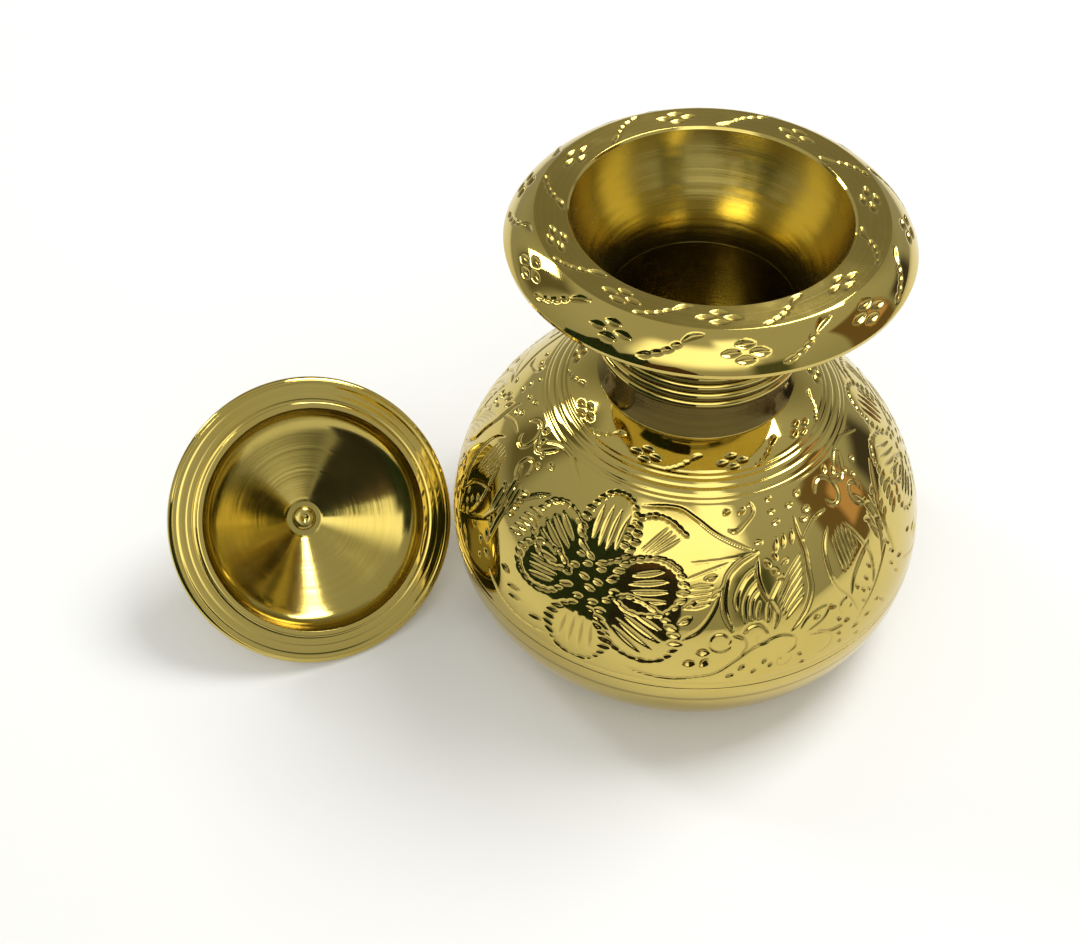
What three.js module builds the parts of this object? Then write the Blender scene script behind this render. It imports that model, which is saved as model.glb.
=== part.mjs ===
// A small brass kalash: a round water pot with a ringed neck, a wide flared mouth and a loose domed
// lid. The lid lies beside the pot with its hollow side up, leaning on its knob and its rim.
// Units are millimetres, +Z is up, and the origin is the centre of the pot's flat base.
import * as THREE from 'three';

// ---- driving dimensions: pot, from the base upwards ----
const baseRadius = 28.5; // flat disc that the pot stands on
const bellyRadius = 55.3;
const bellyHeight = 25; // height of the widest circle, where the two halves of the belly meet
const shoulderRise = 43.2; // from the widest circle to the foot of the neck
const shoulderSlope = 21.6; // fall of the shoulder at the neck, in degrees
const bodyWall = 1.4;
const neckBore = 19.9;
const neckWall = 1.9; // thickness of the collar's foot
const footLand = 0.5; // straight step at the collar's foot
const neckWaist = 0.7; // how far the plain band draws in from the foot
const neckBand = 9.8; // height of the plain band, up to the middle of the lowest ring
const ringCount = 4;
const ringRadius = 1.2;
const ringGap = 0.05;
const neckLand = 1.15; // plain step above the top ring
const mouthRise = 17.7; // from the foot of the mouth to its widest edge
const rimLip = 1.5; // thickness of that edge
const rimLand = 1; // width of the flat under the edge
const bevelReach = 6.3; // width of the sloping band
const bevelRise = 6;
const bevelCrown = 0.5; // how far the sloping band swells from a straight cone
const seatWidth = 7.1; // flat ring that the lid sits on
const mouthRadius = 28.6; // inner edge of the flat ring
const mouthChamfer = 0.5;

// ---- driving dimensions: lid, in its own frame with the seat at 0 and the knob upwards ----
const lidLap = 5.6; // how far the lid reaches over the flat ring
const lidEdgeRadius = 1; // rounded outer bead
const lidRimRise = 2.2; // flat rim thickness
const flangeDepth = 1.8; // collar under the lid that drops into the mouth
const flangeWall = 1.4;
const lidWall = 1.6;
const coveReach = 6; // width of the hollow curve between the collar and the cone
const coneFootRise = 5.9; // height of the hollow where its cone starts
const domeRise = 12.2; // height of the hollow at the centre
const rivetLand = 1.3; // flat ring around the rivet
const bossLedge = 0.8; // flat ring around the knob's foot
const roofToe = 2; // flat of the rim outside the collar's line

// ---- driving dimensions: knob ----
const tenonRadius = 2.2;
const rivetLip = 0.7; // spread of the peened end, inside the hollow
const rivetHeight = 0.9;
const rivetRound = 0.6;
const knobFootRadius = 6.6;
const footBead = 0.7;
const knobWaistRadius = 2.7;
const stemHeight = 4.2;
const knobBead = 0.8; // radius of the two small rings
const beadSpread = 0.4; // how far the lower ring stands out from the waist
const knobBulbRadius = 6.8;
const bulbHeight = 9.9; // from the stem to the top of the bulb
const finialHeight = 8.1; // from the bulb to the tip
const knobTipRadius = 1.8;

// ---- fits ----
const jointGap = 0.3; // brazed and riveted faces
const mouthClearance = 0.7; // lid collar in the mouth, on the radius
const besideGap = 0.5; // lid beside the belly
const lidHeading = 36; // the way the hollow faces, in degrees to the right of straight ahead
const lidBearing = 192.4; // where the lid lies around the pot, in degrees from +X

// ---- what follows from them ----
const shoulderHeight = bellyHeight + shoulderRise;
const neckRadius = neckBore + neckWall;
const collarFoot = shoulderHeight + jointGap;
const ringPitch = 2 * ringRadius + ringGap;
const ringStart = collarFoot + neckBand;
const neckTop = ringStart + (ringCount - 1) * ringPitch + ringRadius + neckLand;
const mouthFoot = neckTop + jointGap;
const rimHeight = mouthFoot + mouthRise;
const topHeight = rimHeight + bevelRise;
const topRadius = mouthRadius + seatWidth;
const rimRadius = topRadius + bevelReach;
const lidRadius = mouthRadius + lidLap;
const flangeRadius = mouthRadius - mouthClearance;
const flangeBore = flangeRadius - flangeWall;
const coneFoot = flangeBore - coveReach;
const landHeight = domeRise + lidWall;
const rivetRadius = tenonRadius + rivetLip;
const bossRadius = knobFootRadius + bossLedge;
const knobFoot = landHeight + jointGap;
const stemTop = knobFoot + stemHeight;
const bulbTop = stemTop + bulbHeight;
const lidHeight = bulbTop + finialHeight; // seat to the tip of the knob

const turns = 48; // facets around the turned pieces
const knobTurns = 28;
const degrees = Math.PI / 180;
const point = (r, z) => new THREE.Vector2(r, z);

// A cubic curve between two (radius, height) points, with a handle at each end.
function curve(start, startHandle, endHandle, end, steps) {
  return new THREE.CubicBezierCurve(start, startHandle, endHandle, end).getPoints(steps);
}

// An arc around (r, z), from one angle to another in degrees, 0 pointing outwards.
function arc(r, z, radius, from, to, steps) {
  return Array.from({ length: steps + 1 }, (_, i) => {
    const angle = (from + ((to - from) * i) / steps) * degrees;
    return point(r + radius * Math.cos(angle), z + radius * Math.sin(angle));
  });
}

// The same outline moved inwards by the wall, along each point's normal.
function inset(outline, wall) {
  return outline.map((here, i) => {
    const before = outline[Math.max(i - 1, 0)];
    const after = outline[Math.min(i + 1, outline.length - 1)];
    const along = after.clone().sub(before).normalize();
    return point(here.x - along.y * wall, here.y + along.x * wall);
  });
}

// A turned piece about +Z. The outline runs upwards on the outside; a ring's outline also closes.
function turned(name, outline, colour, roughness, isRing = true, facets = turns) {
  const profile = isRing ? [...outline, outline[0].clone()] : outline;
  const geometry = new THREE.LatheGeometry(profile, facets);
  geometry.rotateX(90 * degrees);
  const material = new THREE.MeshStandardMaterial({ color: colour, roughness, metalness: 1 });
  const mesh = new THREE.Mesh(geometry, material);
  mesh.name = name;
  return mesh;
}

// ---- belly: a lower bowl and an upper shell, brazed edge to edge at the widest circle ----
function lowerBowl() {
  const seam = bellyHeight - jointGap / 2;
  const side = curve(
    point(baseRadius, 0),
    point(baseRadius + 0.66 * (bellyRadius - baseRadius), 0),
    point(bellyRadius, 0.42 * seam),
    point(bellyRadius, seam),
    10,
  );
  const inside = inset(side, bodyWall);
  inside[inside.length - 1].y = seam;
  return turned('lower_bowl', [point(0, 0), ...side, ...inside.reverse(), point(0, bodyWall)],
    0xb79a52, 0.22, false);
}

function shoulderShell() {
  const seam = bellyHeight + jointGap / 2;
  const rise = shoulderHeight - seam;
  const reach = bellyRadius - neckRadius;
  const side = curve(
    point(bellyRadius, seam),
    point(bellyRadius, seam + 0.475 * rise),
    point(
      neckRadius + 0.47 * reach * Math.cos(shoulderSlope * degrees),
      shoulderHeight - 0.47 * reach * Math.sin(shoulderSlope * degrees),
    ),
    point(neckRadius, shoulderHeight),
    13,
  );
  const inside = inset(side, bodyWall);
  inside[0].y = seam;
  const underLand = inside[inside.length - 1].y;
  const land = [point(neckBore, shoulderHeight), point(neckBore, underLand)];
  return turned('shoulder_shell', [...side, ...land, ...inside.reverse()], 0xb79a52, 0.24);
}

// ---- neck: a cast collar with a plain band and half-round rings ----
function neckCollar() {
  const band = neckRadius - neckWaist;
  const landTop = collarFoot + footLand;
  const lowRing = ringStart - ringRadius;
  const drawIn = 0.29 * (lowRing - landTop);
  const outline = [point(neckBore, collarFoot), point(neckRadius, collarFoot)];
  outline.push(...curve(
    point(neckRadius, landTop),
    point(band, landTop + drawIn),
    point(band, lowRing - drawIn),
    point(band, lowRing),
    4,
  ));
  for (let i = 0; i < ringCount; i += 1) {
    outline.push(...arc(band, ringStart + i * ringPitch, ringRadius, -80, 80, 4));
  }
  outline.push(point(band, neckTop), point(neckBore, neckTop));
  return turned('neck_collar', outline, 0xbfa158, 0.18);
}

// ---- mouth: flared underside, sharp edge, sloping band, flat seat ring and funnel ----
function mouthRim() {
  const throat = neckRadius - neckWaist;
  const lipFoot = rimHeight - rimLip;
  const underside = curve(
    point(throat, mouthFoot),
    point(throat, mouthFoot + 0.6 * (lipFoot - mouthFoot)),
    point(throat + 0.45 * (rimRadius - throat), lipFoot),
    point(rimRadius - rimLand, lipFoot),
    7,
  );
  const middle = point((rimRadius + topRadius) / 2, (rimHeight + topHeight) / 2);
  const bevel = new THREE.QuadraticBezierCurve(
    point(rimRadius, rimHeight),
    point(middle.x + 2 * bevelCrown, middle.y + 2 * bevelCrown),
    point(topRadius, topHeight),
  ).getPoints(3);
  const funnelTop = topHeight - mouthChamfer;
  const draw = mouthRadius - neckBore;
  const pull = 0.39 * (funnelTop - mouthFoot);
  const funnel = curve(
    point(mouthRadius, funnelTop),
    point(mouthRadius - 0.276 * draw, funnelTop - pull),
    point(neckBore + 0.069 * draw, mouthFoot + pull),
    point(neckBore, mouthFoot),
    5,
  );
  const seat = [point(mouthRadius + mouthChamfer, topHeight)];
  return turned('mouth_rim', [...underside, ...bevel, ...seat, ...funnel], 0xb59c4e, 0.2);
}

// ---- lid: a domed plate with a locating collar, and a knob riveted through its centre ----
const edgeCentre = point(lidRadius - lidEdgeRadius, lidRimRise - lidEdgeRadius);

function lidPlate() {
  const hole = tenonRadius + jointGap;
  const crown = rivetRadius + rivetLand;
  const coneSlope = (domeRise - coneFootRise) / (coneFoot - crown);
  const coveLead = 0.62 * coveReach;
  const cove = curve(
    point(flangeBore, -flangeDepth),
    point(flangeBore, 0.54 * coneFootRise),
    point(coneFoot + coveLead, coneFootRise - coneSlope * coveLead),
    point(coneFoot, coneFootRise),
    5,
  );
  const hollow = [point(hole, domeRise), point(crown, domeRise), ...cove.reverse()];
  const collar = [point(flangeRadius, -flangeDepth), point(flangeRadius, 0)];
  const edge = arc(edgeCentre.x, edgeCentre.y, lidEdgeRadius, -90, 90, 4);
  edge[0].y = 0;
  const roofFoot = coneFootRise + lidWall;
  const roofSlope = (landHeight - roofFoot) / (coneFoot - bossRadius);
  const roofLead = 0.5 * coveReach;
  const toe = flangeRadius + roofToe;
  const roof = curve(
    point(toe, lidRimRise),
    point(toe - roofLead, lidRimRise),
    point(coneFoot + roofLead, roofFoot - roofSlope * roofLead),
    point(coneFoot, roofFoot),
    4,
  );
  const land = [point(bossRadius, landHeight), point(hole, landHeight)];
  return turned('lid_plate', [...hollow, ...collar, ...edge, ...roof, ...land], 0xb8a04f, 0.26);
}

function lidKnob() {
  const head = domeRise - jointGap;
  const lowBead = stemTop + knobBead;
  const bulbFoot = stemTop + 2.25 * knobBead;
  const bulbNeck = knobWaistRadius + beadSpread;
  const highBead = bulbTop + 0.32 * finialHeight;
  const outline = [
    point(0, head - rivetHeight),
    point(rivetRadius - rivetRound, head - rivetHeight),
    point(rivetRadius, head),
    point(tenonRadius, head),
    point(tenonRadius, knobFoot),
    ...arc(knobFootRadius - footBead, knobFoot + footBead, footBead, -90, 90, 3),
    ...curve(
      point(0.667 * knobFootRadius, knobFoot + 0.38 * stemHeight),
      point(knobWaistRadius, knobFoot + 0.52 * stemHeight),
      point(knobWaistRadius, knobFoot + 0.76 * stemHeight),
      point(knobWaistRadius, stemTop),
      4,
    ),
    ...arc(bulbNeck, lowBead, knobBead, -80, 80, 3),
    ...curve(
      point(knobWaistRadius, bulbFoot),
      point(knobBulbRadius * 1.3, stemTop + 0.24 * bulbHeight),
      point(knobBulbRadius * 1.2, stemTop + 0.74 * bulbHeight),
      point(bulbNeck, bulbTop),
      8,
    ),
    ...arc(knobWaistRadius - 0.3, highBead, knobBead, -80, 80, 3),
    ...arc(0, lidHeight - knobTipRadius, knobTipRadius, -35, 90, 6),
  ];
  return turned('lid_knob', outline, 0xbfa355, 0.2, false, knobTurns);
}

// The lid leans on its rounded rim and on the ball at the knob's tip, so the table is the line that
// touches both circles of its section.
function lidLean() {
  const reach = edgeCentre.x;
  const rise = lidHeight - knobTipRadius - edgeCentre.y;
  const ballExtra = knobTipRadius - lidEdgeRadius;
  return Math.atan2(rise, reach) + Math.asin(ballExtra / Math.hypot(rise, reach));
}

function restingLid() {
  const lean = lidLean();
  const height = edgeCentre.x * Math.sin(lean) + edgeCentre.y * Math.cos(lean) + lidEdgeRadius;
  const facing = new THREE.Vector2(Math.sin(lidHeading * degrees), -Math.cos(lidHeading * degrees));
  const outward = point(Math.cos(lidBearing * degrees), Math.sin(lidBearing * degrees));
  const overlap = facing.dot(outward) * Math.sin(lean);
  const halfWidth = lidRadius * Math.sqrt(1 - overlap * overlap);
  const distance = bellyRadius + besideGap + halfWidth;

  const tilted = new THREE.Group();
  tilted.rotation.y = Math.PI - lean;
  tilted.add(lidPlate(), lidKnob());
  const placed = new THREE.Group();
  placed.position.set(outward.x * distance, outward.y * distance, height);
  placed.rotation.z = (90 + lidHeading) * degrees;
  placed.add(tilted);
  return placed;
}

const group = new THREE.Group();
group.add(lowerBowl(), shoulderShell(), neckCollar(), mouthRim(), restingLid());
export default group;
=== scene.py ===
# %% [markdown]
# # A turned and engraved brass kalash
#
# A kalash is a small water pot. This one is spun and turned from brass: a belly brazed from two
# bowls, a cast collar with rings, a wide mouth, and a loose domed lid with a knob. Its looks are
# two things only, the finish of the metal and the cuts that a hand graver left in it. So this
# lesson turns every piece from an outline, presses the engraving into the mesh as real depth, and
# keeps one family of brass finishes.

# %% Open the fixed frame
import math

import bpy
import numpy as np
from mathutils import Matrix, Vector


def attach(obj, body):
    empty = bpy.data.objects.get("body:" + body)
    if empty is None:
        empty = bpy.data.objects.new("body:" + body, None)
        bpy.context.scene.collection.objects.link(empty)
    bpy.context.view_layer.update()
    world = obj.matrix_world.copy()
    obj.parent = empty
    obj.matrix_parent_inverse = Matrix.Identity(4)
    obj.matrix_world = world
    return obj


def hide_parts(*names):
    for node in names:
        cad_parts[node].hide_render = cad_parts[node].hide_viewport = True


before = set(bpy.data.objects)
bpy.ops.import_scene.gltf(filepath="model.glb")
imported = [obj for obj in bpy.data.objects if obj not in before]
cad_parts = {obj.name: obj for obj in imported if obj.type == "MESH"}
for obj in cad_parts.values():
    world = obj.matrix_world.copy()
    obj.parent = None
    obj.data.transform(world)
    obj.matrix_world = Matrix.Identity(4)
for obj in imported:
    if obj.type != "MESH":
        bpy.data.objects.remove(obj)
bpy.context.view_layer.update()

MM = 0.001

# %% [markdown]
# ## The camera
#
# The pot is seen from above and close by, with a normal lens, so that the mouth opens towards the
# viewer and the belly narrows below it. An empty target would do the aiming, but a direction turned
# into a rotation leaves no extra object behind.

# %% Place the camera
eye = Vector((0.0, -0.2521, 0.3041))
looking_at = Vector((-0.0335, -0.0095, 0.0400))

camera_data = bpy.data.cameras.new("camera")
camera_data.lens = 51.65
camera_data.sensor_width = 36.0
camera_data.clip_start = 0.01
camera = bpy.data.objects.new("camera", camera_data)
camera.location = eye
camera.rotation_euler = (looking_at - eye).to_track_quat("-Z", "Y").to_euler()
bpy.context.scene.collection.objects.link(camera)
bpy.context.scene.camera = camera
print("camera to target:", round((looking_at - eye).length, 3), "m")

# %% [markdown]
# ## Writing shaders as sums
#
# A finish is mostly arithmetic: a mask times a depth, one noise minus another. Nodes for that are
# slow to read, so one small class stands for a socket. Adding or multiplying two of them adds the
# Math node, and its `add` method makes any other node: its settings first, then its sockets.


# %% A socket that can be added and multiplied
class Wire:
    """An output socket of a node tree that takes part in Python sums."""

    def __init__(self, tree, socket=None):
        self.tree = tree
        self.socket = socket

    def add(self, kind, settings=None, sockets=None, output=0):
        node = self.tree.nodes.new(kind)
        for name, value in (settings or {}).items():
            setattr(node, name, value)
        for name, value in (sockets or {}).items():
            if isinstance(value, Wire):
                self.tree.links.new(value.socket, node.inputs[name])
            else:
                node.inputs[name].default_value = value
        return Wire(self.tree, node.outputs[output] if node.outputs else None)

    def sum(self, operation, first, second):
        return self.add("ShaderNodeMath", {"operation": operation}, {0: first, 1: second})

    def __add__(self, other):
        return self.sum("ADD", self, other)

    def __mul__(self, other):
        return self.sum("MULTIPLY", self, other)

    def __sub__(self, other):
        return self.sum("SUBTRACT", self, other)

    def __rsub__(self, other):
        return self.sum("SUBTRACT", other, self)

    __radd__ = __add__
    __rmul__ = __mul__

    def fade(self, start, end):
        """0 before start and 1 after end, with a soft step between."""
        return self.add("ShaderNodeMapRange", {"interpolation_type": "SMOOTHSTEP"},
                        {"Value": self, "From Min": start, "From Max": end})

    def blend(self, first, second):
        """A colour between two others, by this value."""
        return self.add("ShaderNodeMix", {"data_type": "RGBA"}, {0: self, 6: first, 7: second}, 2)


print("wires can be added, multiplied, faded and blended")

# %% [markdown]
# ## The room that the metal sees
#
# Polished brass has almost no look of its own: it shows the room. A plain studio of one grey makes
# it look like plastic, so the room is pale above and a little darker at the walls, with two bright
# window panels, a brown door and some dark furniture. It could be built from real walls, but a
# painted sky is quicker, and each panel is only a product of soft steps in two angles.

# %% Paint the room
world = bpy.data.worlds.new("room")
world.use_nodes = True
world.node_tree.nodes.clear()
room = Wire(world.node_tree)
direction = room.add("ShaderNodeTexCoord", output="Generated")
ahead = room.add("ShaderNodeSeparateXYZ", sockets={0: direction}, output="X")
aside = room.add("ShaderNodeSeparateXYZ", sockets={0: direction}, output="Y")
height = room.add("ShaderNodeSeparateXYZ", sockets={0: direction}, output="Z")
climb = room.add("ShaderNodeMath", {"operation": "ARCSINE"}, {0: height})


def panel(azimuth, half_width, low, high, soft=2.0):
    """1 inside a patch of wall, in degrees around from +X and up from level, with soft edges."""
    turn = math.radians(azimuth)
    across = room.sum("ARCTAN2", aside * math.cos(turn) - ahead * math.sin(turn),
                      ahead * math.cos(turn) + aside * math.sin(turn))
    away = room.add("ShaderNodeMath", {"operation": "ABSOLUTE"}, {0: across})
    edges = [math.radians(value) for value in (half_width - soft, half_width + soft, low - soft,
                                               low + soft, high - soft, high + soft)]
    return (1 - away.fade(edges[0], edges[1])) * climb.fade(edges[2], edges[3]) * (
        1 - climb.fade(edges[4], edges[5]))


sky = height.fade(-0.05, 0.80).blend((0.42, 0.42, 0.40, 1), (0.54, 0.54, 0.52, 1))
sky = panel(90, 48, 22, 62, 14).blend(sky, (0.25, 0.24, 0.20, 1))
sky = panel(-92, 32, 25, 56, 7).blend(sky, (2.1, 2.1, 2.0, 1))
sky = panel(-64, 13, 36, 68, 5).blend(sky, (2.1, 2.1, 2.05, 1))
sky = panel(-52, 10, 2, 27, 4).blend(sky, (0.10, 0.11, 0.075, 1))
sky = panel(4, 15, -10, 38, 2).blend(sky, (0.20, 0.135, 0.075, 1))
sky = panel(10, 7, 8, 26, 2).blend(sky, (0.70, 0.42, 0.27, 1))
sky = panel(32, 10, -12, 14, 4).blend(sky, (0.07, 0.06, 0.06, 1))
sky = panel(165, 12, 5, 48, 6).blend(sky, (0.16, 0.15, 0.11, 1))
background = room.add("ShaderNodeBackground", sockets={"Color": sky, "Strength": 1.0})
room.add("ShaderNodeOutputWorld", sockets={"Surface": background})
bpy.context.scene.world = world
bpy.context.scene.view_settings.view_transform = "Standard"
print("room painted with", len(world.node_tree.nodes), "nodes")

# %% [markdown]
# ## Lights and floor
#
# Two soft boxes do the lighting: a wide one high at the back right, which throws the soft shadow
# forwards and to the left, and a smaller one at the far left that wakes up the cuts on that side.
# The floor is a wide sheet of matt white board. Two dark flags stand in front of the belly, as
# shops use them to show silver: they are hidden from the camera and cast no shadow, but the metal
# mirrors them, and the engraving shows bright against the dark. They are shaped for the front view.


# %% Hang the soft boxes and lay the board
def soft_box(name, place, target, width, depth, watts):
    data = bpy.data.lights.new(name, "AREA")
    data.shape = "RECTANGLE"
    data.size = width
    data.size_y = depth
    data.energy = watts
    lamp = bpy.data.objects.new(name, data)
    lamp.location = place
    lamp.rotation_euler = (Vector(target) - Vector(place)).to_track_quat("-Z", "Y").to_euler()
    bpy.context.scene.collection.objects.link(lamp)


soft_box("box_back", (0.42, 0.34, 1.10), (0, 0, 0.03), 0.55, 0.5, 9.0)
soft_box("box_left", (-1.00, 0.45, 0.80), (0, 0, 0.06), 0.20, 0.5, 3.0)

board_size = 3.0
board_mesh = bpy.data.meshes.new("board")
half = board_size / 2
board_mesh.from_pydata([(-half, -half, 0), (half, -half, 0), (half, half, 0), (-half, half, 0)],
                       [], [(0, 1, 2, 3)])
board = bpy.data.objects.new("board", board_mesh)
bpy.context.scene.collection.objects.link(board)
board_paint = bpy.data.materials.new("matt_board")
board_paint.use_nodes = True
board_paint.node_tree.nodes.clear()
paint = Wire(board_paint.node_tree)
speck = paint.add("ShaderNodeTexNoise", sockets={"Scale": 40.0, "Detail": 3.0})
board_shader = paint.add("ShaderNodeBsdfPrincipled", sockets={
    "Base Color": speck.blend((0.86, 0.86, 0.855, 1), (0.88, 0.88, 0.875, 1)), "Roughness": 0.7})
paint.add("ShaderNodeOutputMaterial", sockets={"Surface": board_shader})
board_mesh.materials.append(board_paint)
print("board", board_size, "m wide")


# %% Stand the dark flags
belly_front = Vector((-0.010, -0.042, 0.050))


def flag(name, outline, away, colour, top_colour):
    """A card cut to an outline of degrees right of straight ahead and degrees up from level."""
    corners = []
    for turn, lift in np.radians(outline):
        ray = Vector((math.sin(turn) * math.cos(lift), -math.cos(turn) * math.cos(lift),
                      math.sin(lift)))
        corners.append(belly_front + ray * away)
    mesh = bpy.data.meshes.new(name)
    mesh.from_pydata(corners, [], [range(len(corners))])
    card = bpy.data.objects.new(name, mesh)
    bpy.context.scene.collection.objects.link(card)
    felt = bpy.data.materials.new(name)
    felt.use_nodes = True
    felt.node_tree.nodes.clear()
    nap = Wire(felt.node_tree)
    spot = nap.add("ShaderNodeTexCoord", output="Generated")
    level = nap.add("ShaderNodeSeparateXYZ", sockets={0: spot}, output="Z")
    shader = nap.add("ShaderNodeBsdfPrincipled", sockets={
        "Base Color": level.fade(0.72, 0.95).blend((*colour, 1), (*top_colour, 1)), "Roughness": 0.9})
    nap.add("ShaderNodeOutputMaterial", sockets={"Surface": shader})
    mesh.materials.append(felt)
    card.visible_camera = card.visible_diffuse = card.visible_shadow = False


green_felt = (0.008, 0.026, 0.009)
black_felt = (0.010, 0.009, 0.008)
brown_felt = (0.085, 0.035, 0.015)
flag("flag_green", [(-74, -12), (-20, -12), (-20, 30), (-29, 40), (-41, 32), (-52, 41), (-61, 31),
                    (-73, 24)], 0.23, green_felt, green_felt)
flag("flag_black", [(-26, -13), (7, -13), (8, 22), (4, 31), (-8, 36), (-25, 33)], 0.21,
     black_felt, brown_felt)
print("two dark flags stand before", belly_front[:])

# %% [markdown]
# ## Brass
#
# All pieces are the same alloy, a pale yellow brass. What differs is how the last tool left it, and
# how much painted shade each part gets. Polished parts are mirrors with faint wipe marks. Turned
# parts keep fine rings from the lathe, which stretch every highlight across the rings, as on a pan
# lid: that is the anisotropy. Each vertex carries three numbers: how far along the outline it is,
# how deep it was cut, and how much painted shade darkens it, most inside bores, bowls and holes.
# The rings are a one-way noise along the outline, so they are round on every piece. The funnel,
# the dish and the neck also have a dimmer tint, a painted dark reflection. It stands in for dark
# things that the real ones probably mirror and this room lacks.


# %% One recipe for every finish
def brass(name, roughness, rings, stretch, tint=(0.605, 0.480, 0.140), warm=(0.560, 0.420, 0.090)):
    """Rings is the depth of the lathe lines in millimetres; stretch is how far they smear light."""
    material = bpy.data.materials.new(name)
    material.use_nodes = True
    material.node_tree.nodes.clear()
    start = Wire(material.node_tree)
    along = start.add("ShaderNodeAttribute", {"attribute_name": "along"}, output="Fac")
    cut = start.add("ShaderNodeAttribute", {"attribute_name": "cut"}, output="Fac")
    recess_shade = start.add("ShaderNodeAttribute", {"attribute_name": "recess_shade"}, output="Fac")
    place = start.add("ShaderNodeTexCoord", output="Object")

    wide = start.add("ShaderNodeTexNoise", sockets={"Vector": place, "Scale": 28.0, "Detail": 3.0})
    wipe = start.add("ShaderNodeTexNoise",
                     sockets={"Vector": place, "Scale": 160.0, "Detail": 4.0, "Roughness": 0.6})
    fine = start.add("ShaderNodeTexNoise", {"noise_dimensions": "1D"},
                     {"W": along, "Scale": 2.6, "Detail": 4.0, "Roughness": 0.65})
    broad = start.add("ShaderNodeTexNoise", {"noise_dimensions": "1D"},
                      {"W": along, "Scale": 0.9, "Detail": 3.0})

    warmth = wide.fade(0.35, 0.70) * 0.40 + broad.fade(0.40, 0.65) * (0.30 if rings else 0.05)
    metal = warmth.blend((*tint, 1), (*warm, 1))
    # Painted shade: the colour is pulled towards a darker brass in recesses, bores and hollows.
    metal = (recess_shade * 0.85).blend(metal, (0.45, 0.365, 0.105, 1))
    metal = (cut.fade(0.05, 0.60) * 0.60).blend(metal, (0.25, 0.180, 0.046, 1))

    dull = wipe.fade(0.45, 0.75) * 0.05 + (fine - 0.5) * (0.16 if rings else 0.0)
    gloss = dull + cut * 0.10 + roughness
    relief = (fine * 0.6 + broad * 0.9) * (rings * MM) + wipe * (0.0006 * MM)
    bump = start.add("ShaderNodeBump", sockets={"Height": relief, "Strength": 1.0, "Distance": 1.0})
    shader = start.add("ShaderNodeBsdfPrincipled", sockets={
        "Base Color": metal, "Metallic": 1.0, "Roughness": gloss, "Normal": bump,
        "Anisotropic": stretch, "Anisotropic Rotation": 0.25 if stretch else 0.0})
    start.add("ShaderNodeOutputMaterial", sockets={"Surface": shader})
    return material


mirror_brass = brass("mirror_brass", 0.045, 0.0, 0.0)
ringed_brass = brass("ringed_brass", 0.085, 0.0020, 0.30)
turned_brass = brass("turned_brass", 0.20, 0.0110, 0.75)
# Painted dark reflection: the funnel and dish tints are darker than the plain brass.
funnel_brass = brass("funnel_brass", 0.20, 0.0150, 0.45, tint=(0.530, 0.430, 0.130))
dish_brass = brass("dish_brass", 0.12, 0.0060, 0.50, tint=(0.520, 0.410, 0.110),
                   warm=(0.470, 0.345, 0.070))
# Painted dark reflection: a much darker tint for the collar band and the roots of its rings.
dark_reflection_brass = brass("dark_reflection_brass", 0.09, 0.0020, 0.30, tint=(0.120, 0.090, 0.024),
                  warm=(0.075, 0.050, 0.014))
finishes = [mirror_brass, ringed_brass, turned_brass, funnel_brass, dish_brass, dark_reflection_brass]
MIRROR, RINGED, TURNED, FUNNEL, DISH, DARK_REFLECTION = range(6)
print("finishes:", [finish.name for finish in finishes])

# %% [markdown]
# ## Drawing outlines
#
# A turner works to an outline: the radius at each height. Straight lines, cubic curves and arcs
# are enough for it. Screw and subdivision modifiers could spin a coarse outline, but the engraving
# needs a fine, even grid, so the outline is walked in small steps instead. Each stretch keeps two
# close points at its ends, which leaves a crisp but not razor-sharp corner.


# %% Lines, curves and arcs in millimetres
def line(*points):
    return np.array(points, float)


def curve(start, start_handle, end_handle, end, count=160):
    t = np.linspace(0, 1, count)[:, None]
    corners = [np.array(corner, float) for corner in (start, start_handle, end_handle, end)]
    weights = ((1 - t) ** 3, 3 * (1 - t) ** 2 * t, 3 * (1 - t) * t ** 2, t ** 3)
    return sum(weight * corner for weight, corner in zip(weights, corners))


def arc(radius_out, height, radius, start, end, count=40):
    turn = np.radians(np.linspace(start, end, count))
    return np.stack([radius_out + radius * np.cos(turn), height + radius * np.sin(turn)], axis=1)


def lengths(path):
    steps = np.hypot(*np.diff(path, axis=0).T)
    return np.concatenate([[0.0], np.cumsum(steps)])


def walk(path, step, corner):
    """Points along a path, about a step apart, with a close one at each end."""
    mark = lengths(path)
    total = mark[-1]
    count = max(1, round(total / step))
    stops = np.linspace(0, total, count + 1)
    if total > 6 * corner:
        inner = stops[(stops > 2 * corner) & (stops < total - 2 * corner)]
        stops = np.concatenate([[0, corner], inner, [total - corner, total]])
    return np.stack([np.interp(stops, mark, path[:, k]) for k in (0, 1)], axis=1)


print("a 10 mm line in 1 mm steps has", len(walk(line((0, 0), (10, 0)), 1.0, 0.1)), "points")
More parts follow.
